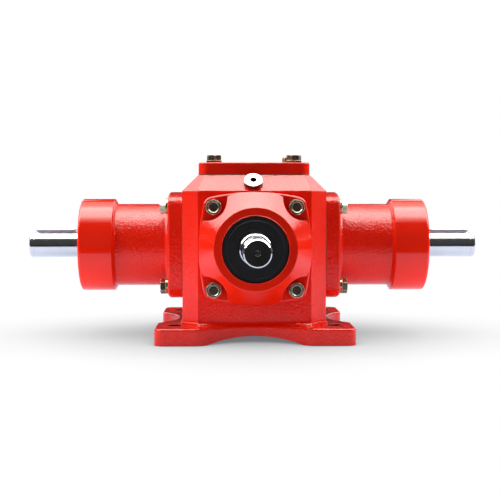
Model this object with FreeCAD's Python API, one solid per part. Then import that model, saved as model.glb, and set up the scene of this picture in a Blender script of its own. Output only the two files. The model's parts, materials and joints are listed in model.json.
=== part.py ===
import FreeCAD, Part
import math
import os

# Right-angle spiral bevel gearbox, millimetres. The origin is the middle of the underside of the
# feet, under the point where the two shaft axes cross. +X runs along the cross shaft, the input
# shaft points to -Y, and +Z is up.
#
# Flanged pieces are drawn in the frame of their own side: +Z outwards along the side's axis, with
# z = 0 where the shaft axes cross, +Y up, and place() carries them to that side.

V = FreeCAD.Vector
FULL_TURN = 360.0

# ---- driving dimensions ---------------------------------------------------------------------
AXIS_HEIGHT = 90.0            # shaft axes above the floor

HOUSING_HALF = 69.5           # half of the cubic housing, face to face
HOUSING_CHAMFER = 15.5        # upright corners and top edges
HOUSING_EDGE_R = 1.2          # cast rounding where the housing's outside faces meet
CAVITY_HALF = 59.5            # 10 mm walls
CAVITY_CHAMFER = 28.0         # thick corners that hold the tapped holes
SUMP_FLOOR = 18.0             # inside floor above the ground
SUMP_HALF = 40.0
OPENING_R = 40.0              # machined opening in each of the five faces

FOOT_TOP = 16.0
BASE_HALF_X = 94.5
BASE_HALF_Y = 99.5
LUG_X = 51.0                  # where a foot's straight front edge starts
LUG_Y = 47.0                  # where a foot's straight side edge starts
WAIST_X = 75.5                # base half-width between two feet, at the middle of a side
WAIST_Y = 76.5                # base half-depth between two feet, at the middle of the front
LUG_CORNER_R = 9.0
LUG_INNER_R = 14.0
BASE_EDGE_R = 2.0
BASE_ROOT_R = 3.5             # cast fillet between housing and base
ARCH_HALF = 45.0              # underside relief: half-width and rise
ARCH_RISE = 6.5
FOOT_HOLE_R = 6.5
FOOT_HOLE_X = 76.0
FOOT_HOLE_Y = 70.0

FLANGE_HALF = 53.0            # flange and cover outline at the middle of a side
FLANGE_CORNER_R = 10.0
FLANGE_THICK = 14.0
FLANGE_EDGE_R = 2.5
COVER_EDGE_R = 1.4
BOLT_OFFSET = 38.9            # bolts at plus and minus this, a 110 mm pitch circle
GASKET = 0.5
SPIGOT_R = 39.9
SPIGOT_INNER = 57.5           # inner end of each bearing housing's spigot
COVER_THICK = 11.5
COVER_HALF = 53.8             # straight-sided outline of the top and rear covers
COVER_CORNER_R = 9.5
COVER_SPIGOT = 4.0

NECK_R = 41.0
NECK_END = 136.0
COLLAR_R = 46.0
COLLAR_START = 139.0
COLLAR_END = 172.0
COLLAR_EDGE_R = 2.5
NECK_ROOT_R = 4.0
SIDE_INNER_BEARING = 64.0     # inner face of each inner bearing
SIDE_OUTER_BEARING = 140.0
SIDE_SEAL = 161.5

RING_R = 38.6                 # flat ring face of the input hub
RING_END = 108.0
FLARE_R = 55.0                # the flared hub where it would meet the flange
POCKET_R = 20.0               # clearance pocket behind each input flange bolt, and how far out
POCKET_OUT = 65.2             # along the diagonal its middle lies
RING_EDGE_R = 1.2
INPUT_INNER_BEARING = 60.0
INPUT_OUTER_BEARING = 79.0
INPUT_SEAL = 98.0

BEARING_BORE_R = 15.0
BEARING_OUTER_R = 31.0
BEARING_WIDTH = 16.0
BEARING_EDGE_R = 1.0
BALL_R = 4.5
BALL_COUNT = 9
BALL_PITCH_R = 23.0
RACE_GAP = 0.25               # between ball and raceway
INNER_SHOULDER_R = 19.5
OUTER_SHOULDER_R = 26.5
CAGE_HALF_THICK = 1.1
CAGE_HALF_WIDTH = 5.8
CAGE_POCKET_R = 4.7
HOUSING_LIP_R = 27.0
SEAT_GAP = 0.02               # between pieces that slide together on assembly

SEAL_WIDTH = 7.0
SEAL_LIP_R = 15.05
OUTER_SPACER_R = 27.5
INNER_SPACER_R = 18.0
BORE_RING = 1.8               # internal retaining ring: thickness, reach into bore, groove depth
BORE_RING_REACH = 3.0
BORE_GROOVE = 1.5

SHAFT_R = 12.5                # shaft ends
SEAT_R = 15.0                 # bearing and seal seats
MIDDLE_R = 18.0               # cross shaft under the crown gear
CROSS_END = 224.0
INPUT_END = 172.0
INPUT_INNER_END = 22.0
SIDE_SEAT_END = 170.5
INPUT_SEAT_END = 112.0
SHAFT_CHAMFER = 1.0
SHAFT_RING = 1.8              # external retaining ring: thickness, height, groove depth
SHAFT_RING_REACH = 3.0
SHAFT_GROOVE = 1.0

KEY_WIDTH = 8.0
KEY_HEIGHT = 7.0
KEY_DEPTH = 4.0
KEY_LENGTH = 40.0
KEY_TIP = 5.5                 # from the key's outer end to the shaft's end
GEAR_KEY_LENGTH = 25.0
KEY_EDGE = 0.4
MARK_OUT = 4.3                # fine turned line between each shaft's plain lead and its keyed length:
MARK_WIDTH = 0.7              # distance from the shaft's end, width and depth
MARK_DEPTH = 0.3

TEETH = 20
PITCH_R = 44.0
CONE_ANGLE = math.radians(45.0)
SPIRAL_ANGLE = math.radians(33.0)
PRESSURE_ANGLE = math.radians(20.0)
FACE_WIDTH = 21.0
ADDENDUM_RATIO = 0.80         # of the module
DEDENDUM_RATIO = 1.05
TOOTH_THINNING = 0.42         # taken off each tooth's thickness, for backlash
RIM = 5.0                     # metal under the teeth
GEAR_FRONT = 27.0
GEAR_WEB_R = 27.0
GEAR_WEB_END = 55.5
GEAR_HUB_R = 20.8
CUTTER_SECTIONS = 7
FLANK_POINTS = 6

BOLT_R = 4.0
BOLT_HOLE_R = 4.5
TAPPED_R = 4.05
TAPPED_DEPTH = 15.0
FLANGE_BOLT = 30.0            # bolt lengths under the head
COVER_BOLT = 25.0
HEAD_FLATS = 13.0
HEAD_HEIGHT = 5.3
HEAD_DISH_R = 5.1
HEAD_DISH = 0.6
HEAD_BEVEL = 0.55
WASHER_R = 7.4
WASHER_HOLE_R = 4.1
WASHER_THICK = 2.2
WASHER_SPLIT = 1.4
BOLT_CLOCKING = {              # degrees, the way each head happens to stop
    "left": (8.0, 41.0, 3.0, 17.0),
    "right": (19.0, 0.0, 33.0, 2.0),
    "input": (0.0, 17.0, 41.0, 8.0),
    "top": (0.0, 17.0, 41.0, 8.0),
    "rear": (12.0, 35.0, 5.0, 27.0),
}

FILLER = {"thread": 6.5, "reach": 11.0, "collar": 9.1, "thick": 3.0, "socket": 6.0, "deep": 5.0}
FILLER_X = -1.2               # the filler boss is cast slightly to the left of the middle
DRAIN = {"thread": 4.8, "reach": 9.0, "collar": 7.0, "thick": 3.0, "socket": 5.0, "deep": 4.0}
DRAIN_HEIGHT = 28.5
SEAL_WASHER = 1.2
PLUG_EDGE = 0.5

GASKET_FACE = HOUSING_HALF
FLANGE_FACE = HOUSING_HALF + GASKET
FLANGE_OUTER = FLANGE_FACE + FLANGE_THICK
COVER_OUTER = FLANGE_FACE + COVER_THICK

SIDES = {
    "left": (V(0, -1, 0), V(0, 0, 1), V(-1, 0, 0)),
    "right": (V(0, 1, 0), V(0, 0, 1), V(1, 0, 0)),
    "input": (V(1, 0, 0), V(0, 0, 1), V(0, -1, 0)),
    "rear": (V(-1, 0, 0), V(0, 0, 1), V(0, 1, 0)),
    "top": (V(1, 0, 0), V(0, 1, 0), V(0, 0, 1)),
}


# ---- helpers --------------------------------------------------------------------------------
def place(shape, side):
    """Carry a shape from its side's own frame to the gearbox."""
    x, y, z = SIDES[side]
    there = FreeCAD.Placement(V(0, 0, AXIS_HEIGHT), FreeCAD.Rotation(x, y, z, "ZXY"))
    moved = shape.copy()
    moved.Placement = there.multiply(moved.Placement)
    return moved


def save(name, shape):
    shape.exportStep("parts/" + name + ".step")


def cylinder(radius, low, high, x=0.0, y=0.0):
    return Part.makeCylinder(radius, high - low, V(x, y, low))


def tube(outer, inner, low, high):
    return cylinder(outer, low, high).cut(cylinder(inner, low, high))


def turned(profile):
    """Solid of revolution about Z from (z, radius) corners, in order."""
    points = [V(radius, 0, z) for z, radius in profile]
    points.append(points[0])
    return Part.Face(Part.makePolygon(points)).revolve(V(0, 0, 0), V(0, 0, 1), FULL_TURN)


def bolt_places():
    return [(BOLT_OFFSET * x, BOLT_OFFSET * y) for x, y in ((-1, 1), (1, 1), (1, -1), (-1, -1))]


def flange_outline(low, high):
    """Square with bulging sides, whose corners are arcs about the bolts."""
    b, half, r = BOLT_OFFSET, FLANGE_HALF, FLANGE_CORNER_R
    big = (b * b + (b - half) ** 2 - r * r) / (2.0 * (half - b - r))
    lean = math.asin(b / (big - r))
    start = V(b + r * math.sin(lean), b + r * math.cos(lean), low)
    end = V(b + r * math.cos(lean), b + r * math.sin(lean), low)
    corner = V(b + r * math.sqrt(0.5), b + r * math.sqrt(0.5), low)
    edges = []
    for quarter in range(4):
        turn = FreeCAD.Rotation(V(0, 0, 1), -90.0 * quarter)
        before = turn.multVec(V(-start.x, start.y, low))
        middle = turn.multVec(V(0, half, low))
        a, c, e = turn.multVec(start), turn.multVec(corner), turn.multVec(end)
        edges.append(Part.Arc(before, middle, a).toShape())
        edges.append(Part.Arc(a, c, e).toShape())
    return Part.Face(Part.Wire(edges)).extrude(V(0, 0, high - low))


def edges_at(shape, z, keep):
    """Edges that lie wholly at height z and whose middle passes keep(point)."""
    found = []
    for edge in shape.Edges:
        middle = edge.valueAt((edge.FirstParameter + edge.LastParameter) / 2.0)
        flat = abs(edge.BoundBox.ZMin - z) < 1e-4 and abs(edge.BoundBox.ZMax - z) < 1e-4
        if flat and keep(middle):
            found.append(edge)
    return found


def radius_of(point):
    return math.hypot(point.x, point.y)


# ---- housing --------------------------------------------------------------------------------
def octagon_block(half, chamfer, low, high, top_chamfer):
    """Upright block with cut corners and sloping top edges."""
    c = half - chamfer
    corners = [(half, -c), (half, c), (c, half), (-c, half), (-half, c), (-half, -c), (-c, -half), (c, -half)]
    points = [V(x, y, low) for x, y in corners]
    points.append(points[0])
    block = Part.Face(Part.makePolygon(points)).extrude(V(0, 0, high - low))
    return block.makeChamfer(top_chamfer, edges_at(block, high, lambda p: True))


def housing_block(low, high):
    block = octagon_block(HOUSING_HALF, HOUSING_CHAMFER, low, high, HOUSING_CHAMFER)
    return block.makeFillet(HOUSING_EDGE_R, [e for e in block.Edges if e.BoundBox.ZMax > low + 1.0])


def base_outline(low, high):
    """Base plate: four feet with a shallow waist between each pair."""
    edges = []
    x, y = BASE_HALF_X, BASE_HALF_Y
    for sx, sy in ((1, -1), (1, 1), (-1, 1), (-1, -1)):
        front = V(sx * LUG_X, sy * y, low)
        corner = V(sx * x, sy * y, low)
        side = V(sx * x, sy * LUG_Y, low)
        edges.append(Part.LineSegment(front, corner).toShape())
        edges.append(Part.LineSegment(corner, side).toShape())
    for s in (1, -1):
        edges.append(Part.Arc(V(s * x, -LUG_Y, low), V(s * WAIST_X, 0, low), V(s * x, LUG_Y, low)).toShape())
        edges.append(Part.Arc(V(-LUG_X, s * y, low), V(0, s * WAIST_Y, low), V(LUG_X, s * y, low)).toShape())
    wire = Part.Wire(Part.__sortEdges__(edges))
    plate = Part.Face(wire).extrude(V(0, 0, high - low))
    uprights = [e for e in plate.Edges if e.BoundBox.ZLength > (high - low) / 2.0]
    lug_corners = [e for e in uprights if abs(e.BoundBox.XMin) > x - 1 and abs(e.BoundBox.YMin) > y - 1]
    inner = [e for e in uprights if not (abs(e.BoundBox.XMin) > x - 1 and abs(e.BoundBox.YMin) > y - 1)]
    plate = plate.makeFillet(LUG_CORNER_R, lug_corners)
    fresh = [e for e in plate.Edges for old in inner
             if e.BoundBox.ZLength > (high - low) / 2.0 and (e.CenterOfMass - old.CenterOfMass).Length < 0.01]
    plate = plate.makeFillet(LUG_INNER_R, fresh)
    return plate.makeFillet(BASE_EDGE_R, edges_at(plate, high, lambda p: True))


def arch(axis):
    """Long cylinder that hollows the underside between the feet, along X or Y."""
    radius = (ARCH_HALF ** 2 + ARCH_RISE ** 2) / (2.0 * ARCH_RISE)
    reach = 2.0 * BASE_HALF_Y
    start = V(0, 0, ARCH_RISE - radius) - axis * (reach / 2.0)
    return Part.makeCylinder(radius, reach, start, axis)


def plug_hole(plug, depth):
    """Threaded hole along -Z from z = 0."""
    return cylinder(plug["thread"] + SEAT_GAP, -depth, 1.0)


def filler_place(shape):
    """Stand a shape on the middle of the sloping front top edge."""
    middle = HOUSING_HALF - HOUSING_CHAMFER / 2.0
    tilt = FreeCAD.Rotation(V(1, 0, 0), 45.0)
    moved = shape.copy()
    moved.Placement = FreeCAD.Placement(V(FILLER_X, -middle, AXIS_HEIGHT + middle), tilt).multiply(moved.Placement)
    return moved


def drain_place(shape):
    """Stand a shape on the rear face, low down in the middle."""
    tilt = FreeCAD.Rotation(V(1, 0, 0), -90.0)
    moved = shape.copy()
    moved.Placement = FreeCAD.Placement(V(0, HOUSING_HALF, DRAIN_HEIGHT), tilt).multiply(moved.Placement)
    return moved


def cavity():
    low = AXIS_HEIGHT - CAVITY_HALF
    high = AXIS_HEIGHT + CAVITY_HALF
    room = Part.makeBox(2 * CAVITY_HALF, 2 * CAVITY_HALF, high - low, V(-CAVITY_HALF, -CAVITY_HALF, low))
    room = room.makeChamfer(CAVITY_CHAMFER, room.Edges)
    sump_top = low + CAVITY_CHAMFER
    sump = Part.makeBox(2 * SUMP_HALF, 2 * SUMP_HALF, sump_top - SUMP_FLOOR, V(-SUMP_HALF, -SUMP_HALF, SUMP_FLOOR))
    return room.fuse(sump)


def gearbox_housing():
    top = AXIS_HEIGHT + HOUSING_HALF
    shape = housing_block(FOOT_TOP / 2.0, top).fuse(base_outline(0.0, FOOT_TOP))
    inside = HOUSING_HALF + 0.5
    root = edges_at(shape, FOOT_TOP, lambda p: max(abs(p.x), abs(p.y)) < inside)
    shape = shape.makeFillet(BASE_ROOT_R, root)
    cuts = [arch(V(0, 1, 0)), arch(V(1, 0, 0)), cavity()]
    for sx in (-1, 1):
        for sy in (-1, 1):
            cuts.append(cylinder(FOOT_HOLE_R, -1.0, FOOT_TOP + 1.0, sx * FOOT_HOLE_X, sy * FOOT_HOLE_Y))
    for side in SIDES:
        opening = cylinder(OPENING_R, 0.0, HOUSING_HALF + 1.0)
        cuts.append(place(opening, side))
        for x, y in bolt_places():
            hole = cylinder(TAPPED_R, HOUSING_HALF - TAPPED_DEPTH, HOUSING_HALF + 1.0, x, y)
            cuts.append(place(hole, side))
    cuts.append(filler_place(plug_hole(FILLER, HOUSING_CHAMFER * 2.0)))
    cuts.append(drain_place(plug_hole(DRAIN, HOUSING_HALF - SUMP_HALF + 2.0)))
    return shape.cut(cuts).removeSplitter()


# ---- flanged pieces -------------------------------------------------------------------------
def bolt_holes(low, high, radius=BOLT_HOLE_R):
    return [cylinder(radius, low, high, x, y) for x, y in bolt_places()]


def cover_outline(low, high):
    plate = Part.makeBox(2 * COVER_HALF, 2 * COVER_HALF, high - low, V(-COVER_HALF, -COVER_HALF, low))
    return plate.makeFillet(COVER_CORNER_R, [e for e in plate.Edges if e.BoundBox.ZLength > 0.1])


def gasket(outline):
    sheet = outline(GASKET_FACE, FLANGE_FACE)
    return sheet.cut([cylinder(OPENING_R, GASKET_FACE, FLANGE_FACE)] + bolt_holes(GASKET_FACE, FLANGE_FACE))


def rounded_plate(outline, outer_face, edge_radius):
    plate = outline(FLANGE_FACE, outer_face)
    return plate.makeFillet(edge_radius, edges_at(plate, outer_face, lambda p: True))


def bearing_bore(inner_bearing, lip_start, end, ring):
    """Everything bored out of a bearing housing: lip, bearing seat and ring groove."""
    groove_r = BEARING_OUTER_R + BORE_GROOVE
    return [
        cylinder(HOUSING_LIP_R, lip_start - 1.0, inner_bearing + 1.0),
        cylinder(BEARING_OUTER_R, inner_bearing, end + 1.0),
        cylinder(groove_r, ring, ring + BORE_RING + SEAT_GAP),
        turned([(end - 0.8, 0.0), (end - 0.8, BEARING_OUTER_R), (end, BEARING_OUTER_R + 0.8), (end, 0.0)]),
    ]


def side_bearing_housing():
    hub = turned([
        (SPIGOT_INNER, 0.0), (SPIGOT_INNER, SPIGOT_R), (FLANGE_FACE + 1.0, SPIGOT_R), (FLANGE_FACE + 1.0, NECK_R),
        (NECK_END, NECK_R), (COLLAR_START, COLLAR_R), (COLLAR_END, COLLAR_R), (COLLAR_END, 0.0),
    ])
    hub = hub.makeFillet(COLLAR_EDGE_R, edges_at(hub, COLLAR_END, lambda p: radius_of(p) > NECK_R))
    shape = rounded_plate(flange_outline, FLANGE_OUTER, FLANGE_EDGE_R).fuse(hub)
    root = edges_at(shape, FLANGE_OUTER, lambda p: abs(radius_of(p) - NECK_R) < 0.1)
    shape = shape.makeFillet(NECK_ROOT_R, root)
    ring = SIDE_OUTER_BEARING + BEARING_WIDTH
    cuts = bearing_bore(SIDE_INNER_BEARING, SPIGOT_INNER, COLLAR_END, ring)
    return shape.cut(cuts + bolt_holes(FLANGE_FACE - 1.0, FLANGE_OUTER + 1.0)).removeSplitter()


def input_bearing_housing():
    spigot = cylinder(SPIGOT_R, SPIGOT_INNER, FLANGE_FACE + 1.0)
    flare = turned([
        (FLANGE_FACE + 1.0, 0.0), (FLANGE_FACE + 1.0, FLARE_R), (FLANGE_OUTER, FLARE_R),
        (RING_END, RING_R), (RING_END, 0.0),
    ])
    flare = flare.makeFillet(RING_EDGE_R, edges_at(flare, RING_END, lambda p: radius_of(p) > RING_R - 1.0))
    out = POCKET_OUT / (math.sqrt(2.0) * BOLT_OFFSET)
    pockets = [cylinder(POCKET_R, FLANGE_OUTER, RING_END + 1.0, x * out, y * out) for x, y in bolt_places()]
    flare = flare.cut(pockets).common(flange_outline(FLANGE_FACE + 1.0, RING_END))
    shape = rounded_plate(flange_outline, FLANGE_OUTER, FLANGE_EDGE_R).fuse([flare, spigot])
    ring = INPUT_OUTER_BEARING + BEARING_WIDTH
    cuts = bearing_bore(INPUT_INNER_BEARING, SPIGOT_INNER, RING_END, ring)
    return shape.cut(cuts + bolt_holes(FLANGE_FACE - 1.0, FLANGE_OUTER + 1.0)).removeSplitter()


def cover():
    plate = rounded_plate(cover_outline, COVER_OUTER, COVER_EDGE_R)
    plate = plate.fuse(cylinder(SPIGOT_R, FLANGE_FACE - COVER_SPIGOT, FLANGE_FACE + 1.0))
    return plate.cut(bolt_holes(FLANGE_FACE - 1.0, COVER_OUTER + 1.0)).removeSplitter()


# ---- fasteners ------------------------------------------------------------------------------
def hexagon(flats, low, high):
    radius = flats / math.sqrt(3.0)
    points = [V(radius * math.sin(math.radians(60.0 * i)), radius * math.cos(math.radians(60.0 * i)), low)
              for i in range(7)]
    return Part.Face(Part.makePolygon(points)).extrude(V(0, 0, high - low))


def hexagon_bolt(length):
    """Bolt along -Z with its head standing on z = 0."""
    corner = HEAD_FLATS / math.sqrt(3.0)
    trim = turned([(0, 0), (0, corner + 1), (HEAD_HEIGHT - HEAD_BEVEL, corner + 1),
                   (HEAD_HEIGHT - HEAD_BEVEL, corner), (HEAD_HEIGHT, corner - 2.0 * HEAD_BEVEL), (HEAD_HEIGHT, 0)])
    head = hexagon(HEAD_FLATS, 0.0, HEAD_HEIGHT).common(trim)
    dish = turned([(HEAD_HEIGHT - HEAD_DISH, 0), (HEAD_HEIGHT - HEAD_DISH, HEAD_DISH_R - HEAD_DISH),
                   (HEAD_HEIGHT, HEAD_DISH_R), (HEAD_HEIGHT, 0)])
    shank = turned([(-length, 0), (-length, BOLT_R - 1), (1 - length, BOLT_R), (1, BOLT_R), (1, 0)])
    return head.cut(dish).fuse(shank).removeSplitter()


def spring_washer():
    ring = tube(WASHER_R, WASHER_HOLE_R, 0.0, WASHER_THICK)
    split = Part.makeBox(WASHER_R, WASHER_SPLIT, WASHER_THICK * 3, V(0, 0, -WASHER_THICK))
    split.rotate(V(0, 0, WASHER_THICK / 2.0), V(1, 0, 0), 20.0)
    return ring.cut(split)


def bolt_group(side, face, length):
    bolts = []
    for (x, y), angle in zip(bolt_places(), BOLT_CLOCKING[side]):
        bolt = hexagon_bolt(length)
        bolt.rotate(V(0, 0, 0), V(0, 0, 1), angle)
        bolt.translate(V(x, y, face + WASHER_THICK))
        bolts.append(bolt)
    return Part.makeCompound(bolts)


def washer_group(side, face):
    washers = []
    for (x, y), angle in zip(bolt_places(), BOLT_CLOCKING[side]):
        washer = spring_washer()
        washer.rotate(V(0, 0, 0), V(0, 0, 1), 5.0 * angle + 60.0)
        washer.translate(V(x, y, face))
        washers.append(washer)
    return Part.makeCompound(washers)


def screw_plug(plug):
    """Socket plug along -Z, with its collar standing on its washer."""
    collar = plug["collar"]
    top = SEAL_WASHER + plug["thick"]
    body = turned([(-plug["reach"], 0), (-plug["reach"], plug["thread"] - PLUG_EDGE),
                   (PLUG_EDGE - plug["reach"], plug["thread"]), (SEAL_WASHER, plug["thread"]),
                   (SEAL_WASHER, collar), (top - PLUG_EDGE, collar), (top, collar - PLUG_EDGE), (top, 0)])
    return body.cut(hexagon(plug["socket"], top - plug["deep"], top + 1.0))


def plug_washer(plug):
    return tube(plug["collar"] - PLUG_EDGE, plug["thread"] + SEAT_GAP, 0.0, SEAL_WASHER)


# ---- bearings, seals and rings --------------------------------------------------------------
def race(radius):
    return Part.makeTorus(BALL_PITCH_R, BALL_R + RACE_GAP, V(0, 0, radius))


def outer_ring(start):
    ring = tube(BEARING_OUTER_R - SEAT_GAP, OUTER_SHOULDER_R, start, start + BEARING_WIDTH)
    rims = [e for e in ring.Edges if radius_of(e.valueAt(0.0)) > BEARING_OUTER_R - 0.1 and e.BoundBox.ZLength < 0.1]
    return ring.makeFillet(BEARING_EDGE_R, rims).cut(race(start + BEARING_WIDTH / 2.0))


def inner_ring(start):
    ring = tube(INNER_SHOULDER_R, BEARING_BORE_R + SEAT_GAP, start, start + BEARING_WIDTH)
    return ring.cut(race(start + BEARING_WIDTH / 2.0))


def ball_places(start):
    middle = start + BEARING_WIDTH / 2.0
    turns = [2.0 * math.pi * i / BALL_COUNT for i in range(BALL_COUNT)]
    return [V(BALL_PITCH_R * math.cos(t), BALL_PITCH_R * math.sin(t), middle) for t in turns]


def balls(start):
    return [Part.makeSphere(BALL_R, place_) for place_ in ball_places(start)]


def cage(start):
    middle = start + BEARING_WIDTH / 2.0
    low, high = middle - CAGE_HALF_WIDTH, middle + CAGE_HALF_WIDTH
    ring = tube(BALL_PITCH_R + CAGE_HALF_THICK, BALL_PITCH_R - CAGE_HALF_THICK, low, high)
    pockets = []
    for ball in ball_places(start):
        outwards = V(ball.x, ball.y, 0).normalize()
        reach = 4.0 * CAGE_HALF_THICK
        pockets.append(Part.makeCylinder(CAGE_POCKET_R, reach, ball - outwards * (reach / 2.0), outwards))
    return ring.cut(pockets)


def oil_seal(start):
    """Rubber-covered ring with a sprung lip on the shaft, open side inwards."""
    end = start + SEAL_WIDTH
    outer = BEARING_OUTER_R - SEAT_GAP
    return turned([
        (start, outer), (end - 0.6, outer), (end, outer - 0.6), (end, 27.2), (end - 0.9, 26.2),
        (end - 0.9, 18.6), (end - 0.4, 18.0), (end - 0.4, 16.6), (end - 1.6, SEAL_LIP_R),
        (end - 2.4, SEAL_LIP_R + 0.5), (end - 4.6, SEAL_LIP_R), (end - 5.6, 16.4), (end - 5.6, 18.6),
        (end - 3.4, 18.9), (end - 2.8, 20.0), (end - 2.8, 27.0), (start, 27.0),
    ])


def open_ring(outer, inner, low, high, gap):
    """Retaining ring: an annulus with a gap and a lug hole each side of it."""
    ring = tube(outer, inner, low, high)
    ring = ring.cut(Part.makeBox(outer + 1, gap, high - low, V(0, -gap / 2.0, low)))
    middle = (outer + inner) / 2.0
    lean = math.asin((gap / 2.0 + 2.2) / middle)
    holes = [cylinder(0.9, low, high, middle * math.cos(lean), s * middle * math.sin(lean)) for s in (-1, 1)]
    return ring.cut(holes)


def bore_ring(start):
    """Internal ring in the groove that follows the outer bearing."""
    outer = BEARING_OUTER_R + BORE_GROOVE - SEAT_GAP
    return open_ring(outer, BEARING_OUTER_R - BORE_RING_REACH, start, start + BORE_RING, 9.0)


def shaft_ring(seat):
    """External ring in front of a gear."""
    end = GEAR_FRONT - SEAT_GAP
    return open_ring(seat + SHAFT_RING_REACH, seat - SHAFT_GROOVE + SEAT_GAP, end - SHAFT_RING, end, 7.0)


# ---- shafts and keys ------------------------------------------------------------------------
def key_blank(low, high, extra=0.0):
    """Round-ended key shape along Z, on the +Y side of a shaft, standing on y = 0."""
    w = KEY_WIDTH / 2.0
    top = KEY_HEIGHT + extra
    a, b = low + w, high - w
    edges = [
        Part.LineSegment(V(-w, 0, a), V(-w, 0, b)).toShape(),
        Part.Arc(V(-w, 0, b), V(0, 0, high), V(w, 0, b)).toShape(),
        Part.LineSegment(V(w, 0, b), V(w, 0, a)).toShape(),
        Part.Arc(V(w, 0, a), V(0, 0, low), V(-w, 0, a)).toShape(),
    ]
    return Part.Face(Part.Wire(edges)).extrude(V(0, top, 0))


def parallel_key(low, high, seat):
    key = key_blank(low, high)
    top = [e for e in key.Edges if e.BoundBox.YMin > KEY_HEIGHT - 0.01]
    key = key.makeChamfer(KEY_EDGE, top)
    key.translate(V(0, seat - KEY_DEPTH, 0))
    return key


def keyway(low, high, seat):
    slot = key_blank(low, high, KEY_HEIGHT)
    slot.translate(V(0, seat - KEY_DEPTH, 0))
    return slot


def end_key_span(end):
    return end - KEY_TIP - KEY_LENGTH, end - KEY_TIP


def gear_key_span():
    return GEAR_FRONT + 3.0, GEAR_FRONT + 3.0 + GEAR_KEY_LENGTH


def shaft_groove(seat):
    end = GEAR_FRONT
    return tube(seat + 1.0, seat - SHAFT_GROOVE, end - SHAFT_RING - 2 * SEAT_GAP, end)


def lead_mark(end):
    return tube(SHAFT_R + 1.0, SHAFT_R - MARK_DEPTH, end - MARK_OUT - MARK_WIDTH, end - MARK_OUT)


def cross_shaft():
    """Through shaft, drawn along the right side's axis."""
    s = SHAFT_CHAMFER
    half = [(SIDE_INNER_BEARING, MIDDLE_R), (SIDE_INNER_BEARING, SEAT_R), (SIDE_SEAT_END - s, SEAT_R),
            (SIDE_SEAT_END, SEAT_R - s), (SIDE_SEAT_END, SHAFT_R), (CROSS_END - s, SHAFT_R),
            (CROSS_END, SHAFT_R - s), (CROSS_END, 0.0)]
    other = [(-z, radius) for z, radius in reversed(half)]
    shape = turned(other + half)
    centre = 2.5
    cuts = [shaft_groove(MIDDLE_R), keyway(*gear_key_span(), MIDDLE_R), keyway(*end_key_span(CROSS_END), SHAFT_R)]
    left = [-z for z in end_key_span(CROSS_END)]
    cuts.append(keyway(left[1], left[0], SHAFT_R))
    cuts += [lead_mark(CROSS_END), lead_mark(2 * MARK_OUT + MARK_WIDTH - CROSS_END)]
    for sign in (-1, 1):
        drill = turned([(CROSS_END - 2 * centre, 0), (CROSS_END + 0.1, centre), (CROSS_END + 0.1, 0)])
        drill.rotate(V(0, 0, 0), V(1, 0, 0), 0.0 if sign > 0 else 180.0)
        cuts.append(drill)
    return shape.cut(cuts).removeSplitter()


def input_shaft():
    s = SHAFT_CHAMFER
    shape = turned([
        (INPUT_INNER_END, 0), (INPUT_INNER_END, SEAT_R - s), (INPUT_INNER_END + s, SEAT_R),
        (INPUT_SEAT_END - s, SEAT_R), (INPUT_SEAT_END, SEAT_R - s), (INPUT_SEAT_END, SHAFT_R),
        (INPUT_END - s, SHAFT_R), (INPUT_END, SHAFT_R - s), (INPUT_END, 0),
    ])
    centre = 2.5
    drill = turned([(INPUT_END - 2 * centre, 0), (INPUT_END + 0.1, centre), (INPUT_END + 0.1, 0)])
    cuts = [shaft_groove(SEAT_R), keyway(*gear_key_span(), SEAT_R), keyway(*end_key_span(INPUT_END), SHAFT_R),
            lead_mark(INPUT_END), drill]
    return shape.cut(cuts).removeSplitter()


# ---- bevel gears ----------------------------------------------------------------------------
def involute(angle):
    return math.tan(angle) - angle


def gap_half_angle(r, cone, thickness):
    """Half the tooth gap, as an angle at radius r of the gear unrolled on its back cone."""
    base = cone * math.cos(PRESSURE_ANGLE)
    lean = math.acos(base / r) if r > base else 0.0
    tooth = thickness / (2.0 * cone) + involute(PRESSURE_ANGLE) - involute(lean)
    return math.pi * math.cos(CONE_ANGLE) / TEETH - tooth


def gap_section(distance, hand, turn):
    """Closed wire of one tooth gap, square to the pitch cone at this distance from the apex."""
    cone = PITCH_R / math.sin(CONE_ANGLE)
    module = 2.0 * PITCH_R / TEETH
    thickness = math.pi * module / 2.0 - TOOTH_THINNING
    mean = cone - FACE_WIDTH / 2.0
    swing = turn + hand * math.tan(SPIRAL_ANGLE) / math.sin(CONE_ANGLE) * math.log(distance / mean)
    s, c = math.sin(CONE_ANGLE), math.cos(CONE_ANGLE)
    along = V(s * math.cos(swing), s * math.sin(swing), c)
    up = V(c * math.cos(swing), c * math.sin(swing), -s)
    across = V(-math.sin(swing), math.cos(swing), 0)
    scale = distance / cone
    low = cone - DEDENDUM_RATIO * module
    high = cone + (ADDENDUM_RATIO + 0.5) * module
    flank = []
    for i in range(FLANK_POINTS):
        r = low + (high - low) * i / (FLANK_POINTS - 1.0)
        angle = gap_half_angle(r, cone, thickness)
        flank.append((r * math.sin(angle) * scale, (r * math.cos(angle) - cone) * scale))
    right = [along * distance + across * x + up * h for x, h in flank]
    left = [along * distance - across * x + up * h for x, h in flank]
    curve_right, curve_left = Part.BSplineCurve(), Part.BSplineCurve()
    curve_right.interpolate(right)
    curve_left.interpolate(left[::-1])
    return Part.Wire([
        curve_right.toShape(), Part.LineSegment(right[-1], left[-1]).toShape(),
        curve_left.toShape(), Part.LineSegment(left[0], right[0]).toShape(),
    ])


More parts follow.
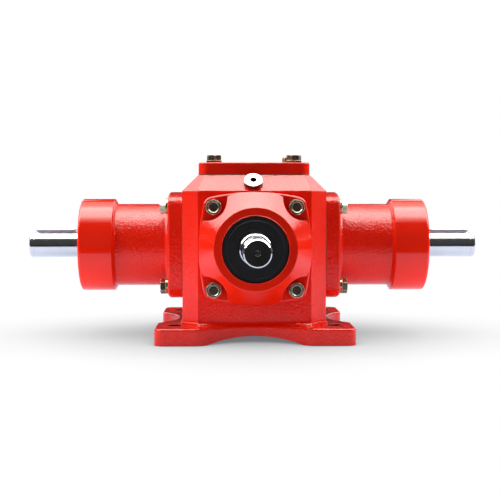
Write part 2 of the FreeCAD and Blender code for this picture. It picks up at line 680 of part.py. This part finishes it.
def bevel_gear(bore, hand, phase):
    """Spiral bevel gear on +Z with its apex at the origin. phase is a gap's place, in pitches."""
    module = 2.0 * PITCH_R / TEETH
    cone = PITCH_R / math.sin(CONE_ANGLE)
    inner = cone - FACE_WIDTH
    s, c = math.sin(CONE_ANGLE), math.cos(CONE_ANGLE)
    tip, root = ADDENDUM_RATIO * module, DEDENDUM_RATIO * module + RIM
    small = inner / cone
    blank = turned([
        (GEAR_FRONT, bore), (GEAR_FRONT, inner * s - root * small * c - 1.0),
        (inner * c + root * small * s, inner * s - root * small * c),
        ((cone * c - tip * s) * small, (cone * s + tip * c) * small),
        (cone * c - tip * s, cone * s + tip * c), (cone * c + root * s, cone * s - root * c),
        (cone * c + root * s, GEAR_WEB_R), (GEAR_WEB_END, GEAR_WEB_R), (GEAR_WEB_END, GEAR_HUB_R),
        (hub_end(bore), GEAR_HUB_R), (hub_end(bore), bore),
    ])
    start, end = inner - 3.0, cone + 4.0
    distances = [start * (end / start) ** (i / (CUTTER_SECTIONS - 1.0)) for i in range(CUTTER_SECTIONS)]
    pitch = 2.0 * math.pi / TEETH
    cutter = Part.makeLoft([gap_section(d, hand, phase * pitch) for d in distances], True, False)
    cutters = []
    for i in range(TEETH):
        copy = cutter.copy()
        copy.rotate(V(0, 0, 0), V(0, 0, 1), math.degrees(pitch * i))
        cutters.append(copy)
    return blank.cut(cutters)


def hub_end(bore):
    """A gear's hub reaches the inner ring of the bearing behind it."""
    return SIDE_INNER_BEARING if bore > SEAT_R + 1.0 else INPUT_INNER_BEARING


def keyed(gear, seat):
    low, high = gear_key_span()
    slot = Part.makeBox(KEY_WIDTH, KEY_HEIGHT - KEY_DEPTH + 0.3, 100.0, V(-KEY_WIDTH / 2.0, seat, 0.0))
    filled = Part.makeBox(KEY_WIDTH, seat, 100.0, V(-KEY_WIDTH / 2.0, 0.0, 0.0))
    return gear.cut(slot.fuse(filled))


# ---- the gearbox ----------------------------------------------------------------------------
def make_castings():
    save("gearbox_housing", gearbox_housing())
    side = side_bearing_housing()
    save("left_bearing_housing", place(side, "left"))
    save("right_bearing_housing", place(side, "right"))
    save("input_bearing_housing", place(input_bearing_housing(), "input"))
    save("top_cover", place(cover(), "top"))
    save("rear_cover", place(cover(), "rear"))


def make_fasteners():
    flange = (flange_outline, FLANGE_OUTER, FLANGE_BOLT)
    lid = (cover_outline, COVER_OUTER, COVER_BOLT)
    faces = {"left_housing": ("left", *flange), "right_housing": ("right", *flange),
             "input_housing": ("input", *flange), "top_cover": ("top", *lid), "rear_cover": ("rear", *lid)}
    for name, (side, outline, face, length) in faces.items():
        save(name + "_gasket", place(gasket(outline), side))
        save(name + "_bolts", place(bolt_group(side, face, length), side))
        save(name + "_washers", place(washer_group(side, face), side))
    save("oil_filler_plug", filler_place(screw_plug(FILLER)))
    save("oil_drain_plug", drain_place(screw_plug(DRAIN)))
    save("plug_washers", Part.makeCompound([filler_place(plug_washer(FILLER)), drain_place(plug_washer(DRAIN))]))


def make_bearings():
    hubs = {"left": (SIDE_INNER_BEARING, SIDE_OUTER_BEARING, SIDE_SEAL),
            "right": (SIDE_INNER_BEARING, SIDE_OUTER_BEARING, SIDE_SEAL),
            "input": (INPUT_INNER_BEARING, INPUT_OUTER_BEARING, INPUT_SEAL)}
    for side, (first, second, seal) in hubs.items():
        both = (first, second)
        gap = (first + BEARING_WIDTH, second)
        ball_set = [ball for start in both for ball in balls(start)]
        outer = tube(BEARING_OUTER_R - SEAT_GAP, OUTER_SPACER_R, *gap)
        inner = tube(INNER_SPACER_R, BEARING_BORE_R + SEAT_GAP, *gap)
        save(side + "_bearing_outer_rings", place(Part.makeCompound([outer_ring(s) for s in both]), side))
        save(side + "_bearing_inner_rings", place(Part.makeCompound([inner_ring(s) for s in both]), side))
        save(side + "_bearing_balls", place(Part.makeCompound(ball_set), side))
        save(side + "_bearing_cages", place(Part.makeCompound([cage(s) for s in both]), side))
        save(side + "_outer_spacer", place(outer, side))
        save(side + "_inner_spacer", place(inner, side))
        save(side + "_bore_ring", place(bore_ring(second + BEARING_WIDTH), side))
        save(side + "_oil_seal", place(oil_seal(seal), side))


def make_shafts():
    save("cross_shaft", place(cross_shaft(), "right"))
    save("input_shaft", place(input_shaft(), "input"))
    end_key = end_key_span(CROSS_END)
    save("left_output_key", place(parallel_key(*end_key, SHAFT_R), "left"))
    save("right_output_key", place(parallel_key(*end_key, SHAFT_R), "right"))
    save("input_key", place(parallel_key(*end_key_span(INPUT_END), SHAFT_R), "input"))
    save("crown_gear_key", place(parallel_key(*gear_key_span(), MIDDLE_R), "right"))
    save("pinion_key", place(parallel_key(*gear_key_span(), SEAT_R), "input"))
    save("crown_gear_ring", place(shaft_ring(MIDDLE_R), "right"))
    save("pinion_ring", place(shaft_ring(SEAT_R), "input"))


def make_gears():
    """The crown gear has a gap where the pinion has a tooth, on the line where they meet."""
    crown = bevel_gear(MIDDLE_R + SEAT_GAP, 1.0, 0.0)
    crown.rotate(V(0, 0, 0), V(0, 0, 1), 180.0)
    pinion = bevel_gear(SEAT_R + SEAT_GAP, -1.0, 0.5)
    save("crown_gear", place(keyed(crown, MIDDLE_R), "right"))
    save("pinion_gear", place(keyed(pinion, SEAT_R), "input"))


os.makedirs("parts", exist_ok=True)
make_castings()
make_fasteners()
make_bearings()
make_shafts()
make_gears()
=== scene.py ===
import json
import math

import bpy
from mathutils import Matrix, Vector


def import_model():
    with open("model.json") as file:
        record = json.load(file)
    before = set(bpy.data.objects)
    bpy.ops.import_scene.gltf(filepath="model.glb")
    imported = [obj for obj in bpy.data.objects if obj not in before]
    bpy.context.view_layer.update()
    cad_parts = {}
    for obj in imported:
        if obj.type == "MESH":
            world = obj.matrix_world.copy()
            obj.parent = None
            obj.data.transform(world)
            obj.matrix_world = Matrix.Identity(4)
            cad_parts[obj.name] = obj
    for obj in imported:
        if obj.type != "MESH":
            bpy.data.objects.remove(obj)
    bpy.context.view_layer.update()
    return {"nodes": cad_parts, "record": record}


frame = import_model()

# Places on the object, in metres. Z is up from the floor, the cross shaft runs along X, and the
# input shaft points to -Y.
MM = 0.001
MOUNTS = {mount["name"]: mount for mount in frame["record"]["mounts"]}
FEET = MOUNTS["foot_bolts"]["dims"]
FOOT_HOLE_X = FEET["spacing_x_mm"] / 2 * MM
FOOT_HOLE_Y = FEET["spacing_y_mm"] / 2 * MM
FOOT_HOLE_R = FEET["hole_r_mm"] * MM
SHAFTS_CROSS = (0.0, 0.0, MOUNTS["input_shaft_end"]["pos_m"][2])
COLLAR_INNER = 139 * MM            # the turned collar of a side housing starts here, along X
SIDES = ("left", "right", "input")
FLANGED = ("left_housing", "right_housing", "input_housing", "top_cover", "rear_cover")

# Colours
WHITE = (1.0, 1.0, 1.0)
PAINT = (0.910, 0.0185, 0.0040)
# Deeper red, both for faint patches of thicker paint and as painted shade in corners
PAINT_DEEP_AND_SHADED = (0.750, 0.0090, 0.0022)
PAINT_THIN = (0.935, 0.0380, 0.0120)
# Unpainted bores of the foot holes, near black as painted shade inside the holes
BARE_IRON_SHADED = (0.045, 0.020, 0.014)
SHAFT_STEEL = (0.80, 0.81, 0.84)
KEY_STEEL = (0.62, 0.64, 0.70)
GEAR_STEEL = (0.52, 0.51, 0.50)
BEARING_STEEL = (0.76, 0.77, 0.79)
CAGE_STEEL = (0.60, 0.60, 0.58)
SPRING_STEEL = (0.16, 0.16, 0.17)
SPACER_STEEL = (0.58, 0.59, 0.60)
PLUG_ZINC = (0.42, 0.42, 0.41)
COPPER = (0.62, 0.36, 0.24)
# Near black, painted into hollows as shade
PAINTED_HOLLOW_SHADE = (0.012, 0.011, 0.010)
# Pale bolt rims: worn plating, and a painted highlight along the edges
BOLT_RIM_WORN_AND_HIGHLIT = (0.95, 0.90, 0.80)
BOLT_LIGHT = (0.62, 0.54, 0.38)
BOLT_DARK = (0.30, 0.26, 0.16)
# Pale washer rims: worn plating, and a painted highlight along the edges
WASHER_RIM_WORN_AND_HIGHLIT = (0.90, 0.78, 0.52)
WASHER_LIGHT = (0.66, 0.54, 0.32)
WASHER_DARK = (0.34, 0.27, 0.13)
RUBBER = (0.0045, 0.0050, 0.0065)
PAPER_DARK = (0.105, 0.075, 0.045)
PAPER_LIGHT = (0.20, 0.155, 0.10)

# Sizes of surface detail: waves per metre
PAINT_PATCHES = 26.0
GLOSS_PATCHES = 60.0
CAST_SWELLS = 95.0
SAND_GRAINS = 520.0
TOOL_MARKS = 60.0
STEEL_STAINS = 45.0
PLATING_BLOTCHES = 240.0
PLATING_PITS = 1400.0
RUBBER_BLOOM = 70.0
MOULD_GRAIN = 900.0
PAPER_FIBRES = 700.0

# and depths, in metres
CAST_DEPTH = 0.30 * MM             # skin of the housing casting
TURNED_DEPTH = 0.45 * MM           # and of the side housings, whose necks are the roughest
NOSE_DEPTH = 0.16 * MM
COVER_DEPTH = 0.12 * MM
TOOL_MARK_DEPTH = 0.004 * MM
PIT_DEPTH = 0.02 * MM
FIBRE_DEPTH = 0.05 * MM
PLUG_HOLLOW = 7 * MM               # hollows in a plug up to this deep are painted near black as shade


class Looks:
    """A procedural material: short calls for the nodes that the materials below are built from."""

    def __init__(self, name):
        self.material = bpy.data.materials.new(name)
        self.material.use_nodes = True
        self.nodes = self.material.node_tree.nodes
        self.links = self.material.node_tree.links
        self.shader = self.nodes["Principled BSDF"]

    def put(self, socket, value):
        if isinstance(value, bpy.types.NodeSocket):
            self.links.new(value, socket)
        else:
            socket.default_value = value

    def add(self, kind, settings=None, **values):
        node = self.nodes.new(kind)
        for key, value in (settings or {}).items():
            setattr(node, key, value)
        for key, value in values.items():
            self.put(node.inputs[key.replace("_", " ")], value)
        return node

    def surface(self, **values):
        for key, value in values.items():
            self.put(self.shader.inputs[key.replace("_", " ")], value)

    def place(self, scale=(1.0, 1.0, 1.0)):
        """The rest position on the object, in metres, stretched by scale."""
        where = self.add("ShaderNodeTexCoord").outputs["Object"]
        if tuple(scale) == (1.0, 1.0, 1.0):
            return where
        return self.add("ShaderNodeMapping", Vector=where, Scale=scale).outputs["Vector"]

    def noise(self, waves, detail=2.0, stretch=(1.0, 1.0, 1.0), roughness=0.5):
        node = self.add("ShaderNodeTexNoise", Vector=self.place(stretch), Scale=waves, Detail=detail,
                        Roughness=roughness)
        return node.outputs["Fac"]

    def spread(self, value, low, high, to_low=0.0, to_high=1.0):
        """Maps low..high to to_low..to_high, held at both ends."""
        node = self.add("ShaderNodeMapRange", {"clamp": True}, Value=value, From_Min=low, From_Max=high,
                        To_Min=to_low, To_Max=to_high)
        return node.outputs["Result"]

    def maths(self, operation, a, b=0.0):
        node = self.add("ShaderNodeMath", {"operation": operation})
        self.put(node.inputs[0], a)
        self.put(node.inputs[1], b)
        return node.outputs[0]

    def blend(self, factor, a, b):
        node = self.add("ShaderNodeMix", {"data_type": "RGBA"})
        self.put(node.inputs[0], factor)
        for socket, value in ((node.inputs[6], a), (node.inputs[7], b)):
            self.put(socket, (*value, 1.0) if isinstance(value, tuple) else value)
        return node.outputs[2]

    def mix(self, factor, a, b):
        """One surface where factor is 0 and another where it is 1."""
        node = self.add("ShaderNodeMixShader")
        for socket, value in zip(node.inputs, (factor, a, b)):
            self.put(socket, value)
        return node.outputs[0]

    def glow(self, colour):
        return self.add("ShaderNodeEmission", Color=colour).outputs[0]

    def split(self, vector):
        return self.add("ShaderNodeSeparateXYZ", Vector=vector).outputs

    def rounded(self, radius):
        """The surface normal with sharp edges softened over radius."""
        return self.add("ShaderNodeBevel", {"samples": 4}, Radius=radius).outputs["Normal"]

    def edges(self, radius, low=0.02, high=0.35):
        """1 along sharp edges and 0 on open faces."""
        node = self.add("ShaderNodeVectorMath", {"operation": "DOT_PRODUCT"})
        self.put(node.inputs[0], self.rounded(radius))
        self.put(node.inputs[1], self.add("ShaderNodeNewGeometry").outputs["True Normal"])
        return self.spread(self.maths("SUBTRACT", 1.0, node.outputs["Value"]), low, high)

    def crevice(self, distance, samples=4):
        """0 deep in a corner and 1 in the open."""
        return self.add("ShaderNodeAmbientOcclusion", {"samples": samples}, Distance=distance).outputs["AO"]

    def bump(self, height, distance, normal=None):
        node = self.add("ShaderNodeBump", Height=height, Distance=distance, Strength=1.0)
        if normal is not None:
            self.put(node.inputs["Normal"], normal)
        return node.outputs["Normal"]


def shade(colour, amount):
    return tuple(min(1.0, channel * amount) for channel in colour)


# Paint
def foot_holes(looks):
    """1 on the drilled walls of the four foot holes and 0 elsewhere."""
    place = looks.split(looks.place())
    across = looks.maths("SUBTRACT", looks.maths("ABSOLUTE", place["X"]), FOOT_HOLE_X)
    along = looks.maths("SUBTRACT", looks.maths("ABSOLUTE", place["Y"]), FOOT_HOLE_Y)
    squares = [looks.maths("MULTIPLY", way, way) for way in (across, along)]
    return looks.maths("LESS_THAN", looks.maths("ADD", *squares), (FOOT_HOLE_R + 0.1 * MM) ** 2)


def enamel_colour(looks, drilled):
    """Red, painted deeper in corners as shade, deeper in faint patches, thin along edges, and left bare in
    drilled holes, painted near black there as shade.
    """
    # Painted shade: the enamel turns deeper red in corners and hollows, where shade falls.
    clear_of_painted_shade = looks.spread(looks.crevice(9 * MM), 0.25, 0.85)
    patches = looks.spread(looks.noise(PAINT_PATCHES, 3.0), 0.35, 0.65, to_high=0.22)
    worn = looks.maths("MULTIPLY", looks.edges(0.7 * MM), 0.35)
    colour = looks.blend(patches, looks.blend(clear_of_painted_shade, PAINT_DEEP_AND_SHADED, PAINT), PAINT_DEEP_AND_SHADED)
    colour = looks.blend(worn, colour, PAINT_THIN)
    # The foot holes' bare walls are painted near black, partly as shade.
    return looks.blend(foot_holes(looks), colour, BARE_IRON_SHADED) if drilled else colour


def cast_skin(looks, swell, smooth_beyond):
    """The height of a sand-cast surface, which is turned smooth beyond a distance along X."""
    broad = looks.maths("MULTIPLY", looks.noise(CAST_SWELLS, roughness=0.45), swell)
    grains = looks.spread(looks.noise(SAND_GRAINS, 3.0), 0.42, 0.75)
    skin = looks.maths("ADD", broad, looks.maths("MULTIPLY", grains, 0.5))
    if smooth_beyond is None:
        return skin
    out = looks.maths("ABSOLUTE", looks.split(looks.place())["X"])
    rough = looks.spread(out, smooth_beyond - 2 * MM, smooth_beyond, to_low=1.0, to_high=0.04)
    return looks.maths("MULTIPLY", skin, rough)


def paint_looks(name, cast, swell=1.0, smooth_beyond=None, drilled=False):
    """Glossy red enamel over a casting.

    cast is how deep the sand-cast skin is, and swell how much of that is broad unevenness.
    """
    looks = Looks(name)
    normal = looks.bump(cast_skin(looks, swell, smooth_beyond), cast, looks.rounded(0.5 * MM))
    gloss = looks.spread(looks.noise(GLOSS_PATCHES, 4.0), 0.3, 0.7, to_low=0.4, to_high=0.5)
    looks.surface(Base_Color=enamel_colour(looks, drilled), Roughness=gloss, Specular_IOR_Level=0.0,
                  Normal=normal, Coat_Normal=normal, Coat_Weight=1.0, Coat_Roughness=0.12, Coat_IOR=1.5)
    return looks.material


# Metals
def steel_looks(name, base, roughness, stretch, scratch=0.5, hollow=0.0):
    """Bright steel with fine tool marks: stretch is large along the direction in which the marks change.

    Hollows up to this deep are painted near black as shade.
    """
    looks = Looks(name)
    marks = looks.noise(TOOL_MARKS, 4.0, stretch, 0.6)
    stains = looks.spread(looks.noise(STEEL_STAINS, 4.0), 0.35, 0.75)
    colour = looks.blend(looks.maths("MULTIPLY", stains, 0.25), base, shade(base, 0.72))
    colour = looks.blend(looks.maths("MULTIPLY", looks.edges(0.4 * MM), 0.5), colour, shade(base, 1.15))
    if hollow:
        # Painted shade: hollows such as a plug's hex socket turn near black.
        inside = looks.spread(looks.crevice(hollow), 0.45, 0.8, to_low=1.0, to_high=0.0)
        colour = looks.blend(inside, colour, PAINTED_HOLLOW_SHADE)
    tooled = looks.spread(marks, 0.3, 0.7, to_low=roughness * 0.75, to_high=roughness * 1.3)
    dulled = looks.maths("MULTIPLY", stains, roughness * 0.3)
    looks.surface(Base_Color=colour, Metallic=1.0, Roughness=looks.maths("ADD", tooled, dulled),
                  Normal=looks.bump(marks, scratch * TOOL_MARK_DEPTH, looks.rounded(0.25 * MM)))
    return looks.material


def zinc_looks(name, worn, light, dark):
    """Yellow passivated zinc: blotchy and dark on open faces, painted near black in corners as shade, and
    pale matt rims of worn plating and painted highlight.
    """
    looks = Looks(name)
    tint = looks.spread(looks.noise(PLATING_BLOTCHES, 4.0), 0.35, 0.68)
    rim_wear_and_highlight = looks.edges(1.1 * MM, 0.015, 0.16)
    # Painted shade: the plating turns near black in corners, under heads and between parts.
    corner_shade = looks.spread(looks.crevice(2.0 * MM), 0.3, 0.9, to_low=0.8, to_high=0.0)
    colour = looks.blend(corner_shade, looks.blend(tint, light, dark), shade(dark, 0.18))
    # Pale rims along the edges: worn plating, and a painted highlight.
    colour = looks.blend(rim_wear_and_highlight, colour, worn)
    dulled = looks.maths("MULTIPLY", rim_wear_and_highlight, 0.3)
    rough = looks.maths("ADD", looks.spread(tint, 0.0, 1.0, to_low=0.15, to_high=0.22), dulled)
    metal = looks.spread(rim_wear_and_highlight, 0.0, 1.0, to_low=0.95, to_high=0.6)
    looks.surface(Base_Color=colour, Metallic=metal, Roughness=rough,
                  Normal=looks.bump(looks.noise(PLATING_PITS, 3.0), PIT_DEPTH, looks.rounded(0.3 * MM)))
    return looks.material


# Rubber and paper
def rubber_looks(name):
    """Moulded nitrile rubber: near black, a soft gloss, faint bloom and fine moulding grain."""
    looks = Looks(name)
    bloom = looks.spread(looks.noise(RUBBER_BLOOM, 5.0), 0.45, 0.8, to_high=0.35)
    grain = looks.noise(MOULD_GRAIN, 3.0)
    gloss = looks.spread(grain, 0.3, 0.7, to_low=0.42, to_high=0.6)
    looks.surface(Base_Color=looks.blend(bloom, RUBBER, shade(RUBBER, 2.2)), Roughness=gloss,
                  Normal=looks.bump(grain, PIT_DEPTH, looks.rounded(0.3 * MM)))
    return looks.material


def paper_looks(name):
    """Pressed gasket paper: short matted fibres."""
    looks = Looks(name)
    fibres = looks.noise(PAPER_FIBRES, 5.0, (1.0, 1.0, 3.0), 0.65)
    looks.surface(Base_Color=looks.blend(looks.spread(fibres, 0.3, 0.7), PAPER_DARK, PAPER_LIGHT),
                  Roughness=0.85, Normal=looks.bump(fibres, FIBRE_DEPTH))
    return looks.material


# The material of every CAD node, by name
def castings():
    side = paint_looks("red_enamel_on_bearing_housing", TURNED_DEPTH, smooth_beyond=COLLAR_INNER)
    cover = paint_looks("red_enamel_on_cover", COVER_DEPTH)
    return {
        "gearbox_housing": paint_looks("red_enamel_on_casting", CAST_DEPTH, swell=0.35, drilled=True),
        "input_bearing_housing": paint_looks("red_enamel_on_input_housing", NOSE_DEPTH),
        "left_bearing_housing": side, "right_bearing_housing": side,
        "top_cover": cover, "rear_cover": cover,
    }


def shafts_and_gears():
    along_x = steel_looks("bright_key_steel_cross", KEY_STEEL, 0.48, (2.0, 30.0, 30.0), 1.0)
    along_y = steel_looks("bright_key_steel_input", KEY_STEEL, 0.48, (30.0, 2.0, 30.0), 1.0)
    gear = steel_looks("hobbed_gear_steel", GEAR_STEEL, 0.30, (30.0, 30.0, 8.0), 1.0)
    spring = steel_looks("phosphated_spring_steel", SPRING_STEEL, 0.38, (25.0, 25.0, 25.0), 1.0)
    table = {
        "cross_shaft": steel_looks("ground_steel_cross_shaft", SHAFT_STEEL, 0.13, (60.0, 1.0, 1.0)),
        "input_shaft": steel_looks("ground_steel_input_shaft", SHAFT_STEEL, 0.13, (1.0, 60.0, 1.0)),
        "left_output_key": along_x, "right_output_key": along_x, "crown_gear_key": along_x,
        "input_key": along_y, "pinion_key": along_y,
        "crown_gear": gear, "pinion_gear": gear,
        "crown_gear_ring": spring, "pinion_ring": spring,
    }
    return table | {f"{side}_bore_ring": spring for side in SIDES}


def bearings():
    bright = steel_looks("bearing_steel", BEARING_STEEL, 0.10, (20.0, 20.0, 20.0))
    pressed = steel_looks("pressed_cage_steel", CAGE_STEEL, 0.28, (6.0, 6.0, 6.0), 1.0)
    turned = steel_looks("turned_spacer_steel", SPACER_STEEL, 0.24, (40.0, 40.0, 40.0))
    rubber = rubber_looks("black_nitrile_rubber")
    parts = {
        "bearing_outer_rings": bright, "bearing_inner_rings": bright, "bearing_balls": bright,
        "bearing_cages": pressed, "outer_spacer": turned, "inner_spacer": turned, "oil_seal": rubber,
    }
    return {f"{side}_{part}": material for side in SIDES for part, material in parts.items()}


def joints_and_plugs():
    plug = steel_looks("bright_zinc_plug", PLUG_ZINC, 0.22, (8.0, 8.0, 8.0), 1.0, PLUG_HOLLOW)
    parts = {
        "gasket": paper_looks("brown_gasket_paper"),
        "bolts": zinc_looks("yellow_zinc_bolts", BOLT_RIM_WORN_AND_HIGHLIT, BOLT_LIGHT, BOLT_DARK),
        "washers": zinc_looks("yellow_zinc_washers", WASHER_RIM_WORN_AND_HIGHLIT, WASHER_LIGHT, WASHER_DARK),
    }
    table = {f"{flange}_{part}": material for flange in FLANGED for part, material in parts.items()}
    return table | {
        "oil_filler_plug": plug, "oil_drain_plug": plug,
        "plug_washers": steel_looks("annealed_plug_washer", COPPER, 0.35, (8.0, 8.0, 8.0), 1.0),
    }


def dress(nodes):
    for name, material in (castings() | shafts_and_gears() | bearings() | joints_and_plugs()).items():
        nodes[name].data.materials.clear()
        nodes[name].data.materials.append(material)


# Camera: where the photograph was taken from, found from the shaft ends, feet and collars
CAMERA_AT = (-26.49 * MM, -1104.62 * MM, 141.80 * MM)
CAMERA_AZIMUTH = math.radians(-1.2176)
CAMERA_ELEVATION = math.radians(2.981)
CAMERA_LENS = 78.45
CAMERA_SENSOR = 36.0
CAMERA_NEAR = 0.01
CAMERA_FAR = 50.0


def camera():
    level = math.cos(CAMERA_ELEVATION)
    back = Vector((math.sin(CAMERA_AZIMUTH) * level, -math.cos(CAMERA_AZIMUTH) * level,
                   math.sin(CAMERA_ELEVATION)))
    right = Vector((math.cos(CAMERA_AZIMUTH), math.sin(CAMERA_AZIMUTH), 0.0))
    turn = Matrix((right, back.cross(right), back)).transposed().to_4x4()
    data = bpy.data.cameras.new("camera")
    data.lens = CAMERA_LENS
    data.sensor_width = CAMERA_SENSOR
    data.clip_start = CAMERA_NEAR
    data.clip_end = CAMERA_FAR
    seen = bpy.data.objects.new("camera", data)
    seen.matrix_world = Matrix.Translation(CAMERA_AT) @ turn
    bpy.context.scene.collection.objects.link(seen)
    bpy.context.scene.camera = seen


# Floor
FLOOR_HALF = 12.0
FLOOR_Z = -0.2 * MM
TABLE_FRONT = -0.28                # the pale table ends here, and the room in front of it is dark
TABLE_HALF = 1.2
TABLE_SHINE = (0.90, 0.95, 1.12)   # how bright the table is in reflections
TABLE_GLOW = (1.32, 1.28, 1.30)    # and as a source of soft light from below
ROOM_DARK = (0.01, 0.01, 0.01)
CONTACT_REACH = 0.16               # how far the contact shadow spreads from what stands on the floor
CONTACT_SAMPLES = 12
SHADOW_REACH = (0.34, 0.62)        # it fades to white between these distances from the middle
SHADE_GREY = (0.16, 0.16, 0.17)


def shown_floor(looks, near):
    """What the camera sees: white, with a soft contact shadow near the object."""
    away = looks.add("ShaderNodeVectorMath", {"operation": "LENGTH"})
    looks.put(away.inputs[0], looks.place())
    shadow = looks.blend(looks.spread(near, 0.0, 0.97), SHADE_GREY, WHITE)
    return looks.mix(looks.spread(away.outputs["Value"], *SHADOW_REACH), looks.glow(shadow),
                     looks.glow((*WHITE, 1.0)))


def lighting_floor(looks, near, ray):
    """What the object sees: a pale table of finite size, dim under the object, in a dark room."""
    place = looks.split(looks.place())
    behind_front = looks.maths("GREATER_THAN", place["Y"], TABLE_FRONT)
    between_sides = looks.maths("LESS_THAN", looks.maths("ABSOLUTE", place["X"]), TABLE_HALF)
    on_table = looks.maths("MULTIPLY", behind_front, between_sides)
    bright = looks.maths("MULTIPLY", on_table, looks.spread(near, 0.1, 0.9))
    table = looks.blend(ray["Is Glossy Ray"], TABLE_GLOW, TABLE_SHINE)
    return looks.glow(looks.blend(bright, ROOM_DARK, table))


def floor():
    mesh = bpy.data.meshes.new("floor")
    corners = [(x * FLOOR_HALF, y * FLOOR_HALF, FLOOR_Z) for x, y in ((-1, -1), (1, -1), (1, 1), (-1, 1))]
    mesh.from_pydata(corners, [], [(0, 1, 2, 3)])
    slab = bpy.data.objects.new("floor", mesh)
    bpy.context.scene.collection.objects.link(slab)
    looks = Looks("pale_table")
    near = looks.crevice(CONTACT_REACH, CONTACT_SAMPLES)
    ray = looks.add("ShaderNodeLightPath").outputs
    both = looks.mix(ray["Is Camera Ray"], lighting_floor(looks, near, ray), shown_floor(looks, near))
    looks.put(looks.nodes["Material Output"].inputs["Surface"], both)
    mesh.materials.append(looks.material)


# Lights. Each overhead sheet has a height of its own, because lights in one plane hide each other.
SHEET_WIDTH = 4.4
ROOM_STRENGTH = 0.05
WARM = (1.0, 0.985, 0.95)
WARMER = (1.0, 0.97, 0.9)
AMBER = (1.0, 0.9, 0.75)

OVERHEAD = {
    # name: (x, y, height, (width, depth), radiance, seen by, colour)
    "overhead_shine": (0.0, 0.0, 1.08, (SHEET_WIDTH, 0.60), 4.4, "gloss", WARM),
    "overhead_shine_wide": (0.0, 0.01, 1.10, (SHEET_WIDTH, 0.88), 2.8, "gloss", WARM),
    "overhead_shine_edge": (0.0, 0.02, 1.12, (SHEET_WIDTH, 1.24), 2.0, "gloss", WARMER),
    "overhead_shine_back": (0.0, 0.8, 1.09, (1.3, 0.5), 1.6, "gloss", AMBER),
    "left_high_shine": (-1.3, 0.85, 1.09, (1.2, 0.8), 3.2, "gloss"),
    "right_high_shine": (1.3, 0.85, 1.09, (1.2, 0.8), 3.2, "gloss"),
    "overhead": (0.0, 0.075, 1.05, (SHEET_WIDTH, 0.25), 6.2, "matt"),
    "overhead_front": (0.0, -0.16, 1.06, (SHEET_WIDTH, 0.12), 6.0, "matt"),
}

AROUND = {
    # name: (centre, (width, height), radiance, seen by)
    "left_back_shine": ((-1.03, 1.79, 0.84), (1.2, 1.2), 1.4, "gloss"),
    "right_back_shine": ((1.03, 1.79, 0.84), (1.2, 1.2), 1.4, "gloss"),
    "right_side": ((2.12, 0.37, 0.55), (1.0, 1.0), 3.4, "matt"),
    "left_side": ((-1.86, -1.08, 0.55), (1.0, 1.0), 3.2, "matt"),
    "front": ((-0.74, -2.02, 0.55), (1.0, 1.0), 0.5, "matt"),
}

ON_TABLE = {
    # name: (x, y, (width, depth), radiance)
    "left_bounce": (-0.65, 0.05, (0.75, 0.38), 8.8),
    "right_bounce": (0.65, 0.05, (0.75, 0.38), 7.8),
    "back_bounce": (0.0, 0.55, (1.8, 0.5), 1.4),
}


def softbox(name, centre, towards, size, radiance, seen_by, colour=WHITE):
    """A rectangular light at centre, facing a point, with the given brightness per unit of area.

    One that is seen_by "gloss" only shows in reflections, and one seen_by "matt" only lights the colour.
    """
    data = bpy.data.lights.new(name, "AREA")
    data.shape = "RECTANGLE"
    data.size, data.size_y = size
    data.color = colour
    data.energy = radiance * math.pi * size[0] * size[1]
    lamp = bpy.data.objects.new(name, data)
    lamp.visible_camera = False
    lamp.visible_glossy = seen_by == "gloss"
    lamp.visible_diffuse = seen_by == "matt"
    facing = Vector(towards) - Vector(centre)
    lamp.matrix_world = Matrix.Translation(centre) @ facing.to_track_quat("-Z", "Y").to_matrix().to_4x4()
    bpy.context.scene.collection.objects.link(lamp)


def lights():
    for name, (x, y, height, size, *rest) in OVERHEAD.items():
        softbox(name, (x, y, height), (x, y, 0.0), size, *rest)
    for name, (centre, size, *rest) in AROUND.items():
        softbox(name, centre, SHAFTS_CROSS, size, *rest)
    for name, (x, y, size, radiance) in ON_TABLE.items():
        softbox(name, (x, y, MM), (x, y, 1.0), size, radiance, "matt")


def world():
    """White behind the object for the camera, and a dim room for everything else."""
    space = bpy.data.worlds.new("room")
    space.use_nodes = True
    nodes, links = space.node_tree.nodes, space.node_tree.links
    nodes.clear()
    both = nodes.new("ShaderNodeMixShader")
    links.new(nodes.new("ShaderNodeLightPath").outputs["Is Camera Ray"], both.inputs[0])
    for socket, strength in ((both.inputs[1], ROOM_STRENGTH), (both.inputs[2], 1.0)):
        backdrop = nodes.new("ShaderNodeBackground")
        backdrop.inputs["Color"].default_value = (*WHITE, 1.0)
        backdrop.inputs["Strength"].default_value = strength
        links.new(backdrop.outputs[0], socket)
    links.new(both.outputs[0], nodes.new("ShaderNodeOutputWorld").inputs["Surface"])
    bpy.context.scene.world = space


def studio():
    bpy.context.scene.view_settings.view_transform = "Standard"
    world()
    floor()
    lights()


dress(frame["nodes"])
camera()
studio()
